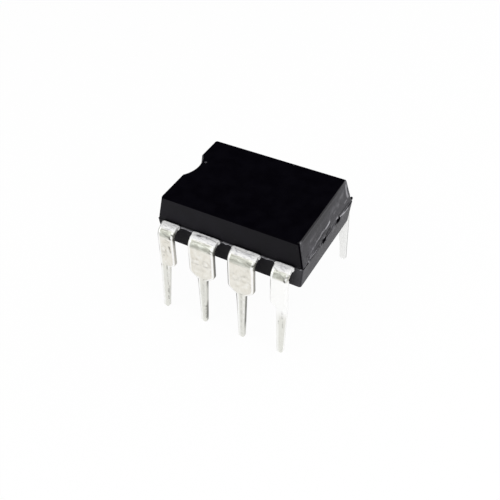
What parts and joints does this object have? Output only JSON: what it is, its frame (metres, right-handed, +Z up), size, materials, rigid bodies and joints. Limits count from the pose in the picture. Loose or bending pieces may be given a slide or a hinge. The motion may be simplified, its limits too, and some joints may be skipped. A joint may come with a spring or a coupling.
{
  "type": "dual in-line package integrated circuit",
  "caption": "Small black moulded chip package with two rows of bent, tinned through-hole leads and a half-round notch at one end.",
  "frame": {"origin": "on the plane of the lead tips, under the middle of the package", "axes": "+X along the package, away from the notch; +Y across it, from the row of leads 1 to 4 to the row of leads 5 to 8; +Z up, from the tips to the top of the package"},
  "size_m": [0.0092, 0.0088, 0.0075],
  "materials": {
    "mould_compound": "black epoxy moulding compound, smooth top and slightly rough sides",
    "tinned_lead": "matt tin plate over copper alloy",
    "frame_copper": "bare copper alloy sheet",
    "silver_epoxy": "silver-filled epoxy",
    "silicon": "polished silicon",
    "gold_wire": "drawn gold"
  },
  "bodies": {
    "root": {"mould_body": "mould_compound", "lead_1": "tinned_lead", "lead_2": "tinned_lead", "lead_3": "tinned_lead", "lead_4": "tinned_lead", "lead_5": "tinned_lead", "lead_6": "tinned_lead", "lead_7": "tinned_lead", "lead_8": "tinned_lead", "die_paddle": "frame_copper", "die_attach": "silver_epoxy", "silicon_die": "silicon", "bond_wire_1": "gold_wire", "bond_wire_2": "gold_wire", "bond_wire_3": "gold_wire", "bond_wire_4": "gold_wire", "bond_wire_5": "gold_wire", "bond_wire_6": "gold_wire", "bond_wire_7": "gold_wire", "bond_wire_8": "gold_wire"}
  },
  "joints": []
}
